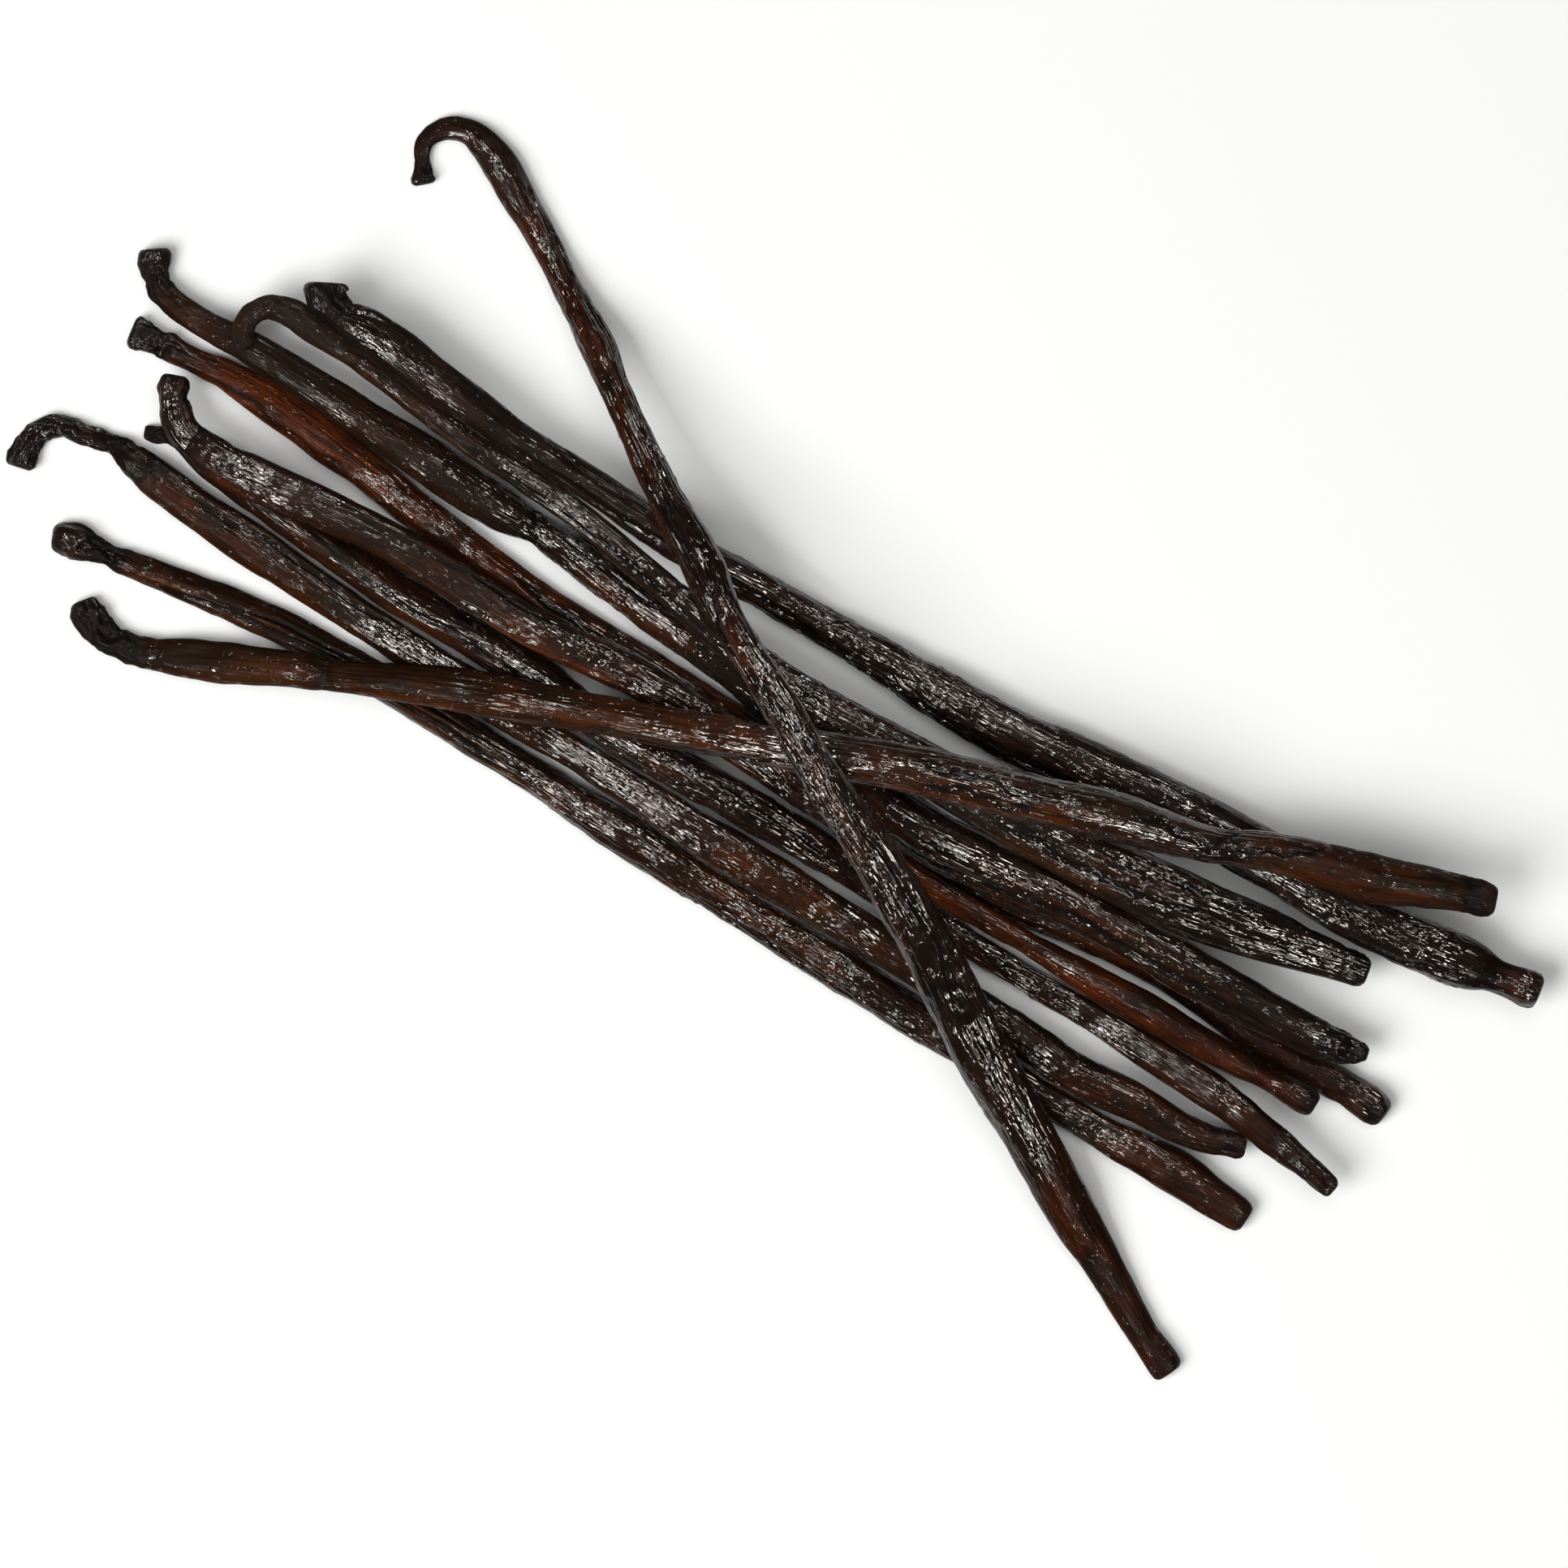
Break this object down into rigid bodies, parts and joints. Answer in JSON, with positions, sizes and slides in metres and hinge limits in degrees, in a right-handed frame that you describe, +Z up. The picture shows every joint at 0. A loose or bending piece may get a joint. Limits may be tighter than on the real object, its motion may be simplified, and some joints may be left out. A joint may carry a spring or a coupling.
{
  "type": "bundle of vanilla pods",
  "caption": "Loose bundle of long, thin, cured vanilla pods lying on a table, with hooked stem ends, some of them crossing over the rest.",
  "frame": {"origin": "centre of the bundle's footprint, on the table top", "axes": "+X along the bundle, from the hooked stem ends to the blossom ends; +Z up; +Y across the bundle, to the side of the hook of pod_crosswise"},
  "size_m": [0.1966, 0.0898, 0.018],
  "materials": {
    "skin_lower_edge": "oily, wrinkled, cured pod skin",
    "skin_broad_stem": "oily, wrinkled, cured pod skin",
    "skin_thin_tip": "oily, wrinkled, cured pod skin",
    "skin_red_brown": "oily, wrinkled, cured pod skin",
    "skin_bent_stem": "oily, wrinkled, cured pod skin",
    "skin_pinched": "oily, wrinkled, cured pod skin",
    "skin_curled_stem": "oily, wrinkled, cured pod skin",
    "skin_dark_fat": "oily, wrinkled, cured pod skin",
    "skin_pale_brown": "oily, wrinkled, cured pod skin",
    "skin_crosswise": "oily, wrinkled, cured pod skin"
  },
  "bodies": {
    "root": {"pod_lower_edge": "skin_lower_edge", "pod_broad_stem": "skin_broad_stem", "pod_thin_tip": "skin_thin_tip", "pod_red_brown": "skin_red_brown", "pod_bent_stem": "skin_bent_stem", "pod_pinched": "skin_pinched", "pod_curled_stem": "skin_curled_stem", "pod_dark_fat": "skin_dark_fat", "pod_pale_brown": "skin_pale_brown", "pod_crosswise": "skin_crosswise"}
  },
  "joints": []
}
